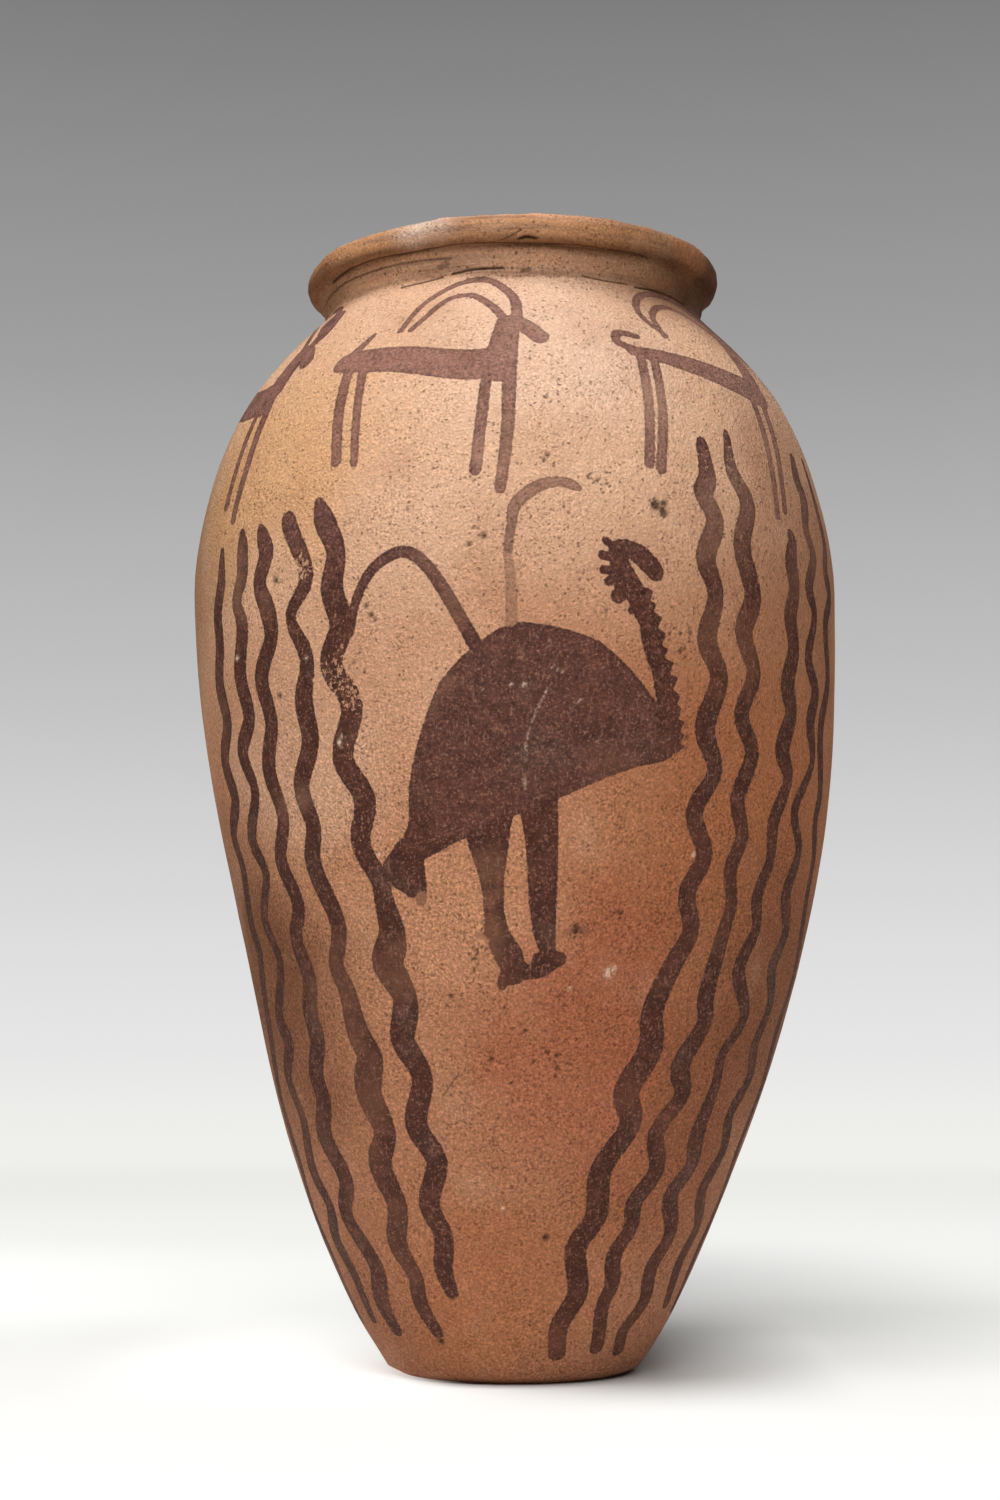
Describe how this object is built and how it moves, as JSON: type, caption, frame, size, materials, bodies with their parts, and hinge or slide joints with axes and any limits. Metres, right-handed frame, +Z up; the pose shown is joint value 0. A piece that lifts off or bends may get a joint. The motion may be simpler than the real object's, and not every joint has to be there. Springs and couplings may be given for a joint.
{
  "type": "painted pottery jar",
  "caption": "Tall hand-built clay jar, high shouldered on a small flat foot, with a rolled lip, painted with a bird, ibexes and wavy lines.",
  "frame": {"origin": "middle of the flat underside, on the ground plane", "axes": "+Z up the jar's axis, -Y out of the painted bird's side"},
  "size_m": [0.1691, 0.169, 0.2909],
  "materials": {
    "painted_clay": "smoothed fired marl clay, buff to orange brown, painted in plum brown, worn matt"
  },
  "bodies": {
    "root": {"jar": "painted_clay"}
  },
  "joints": []
}
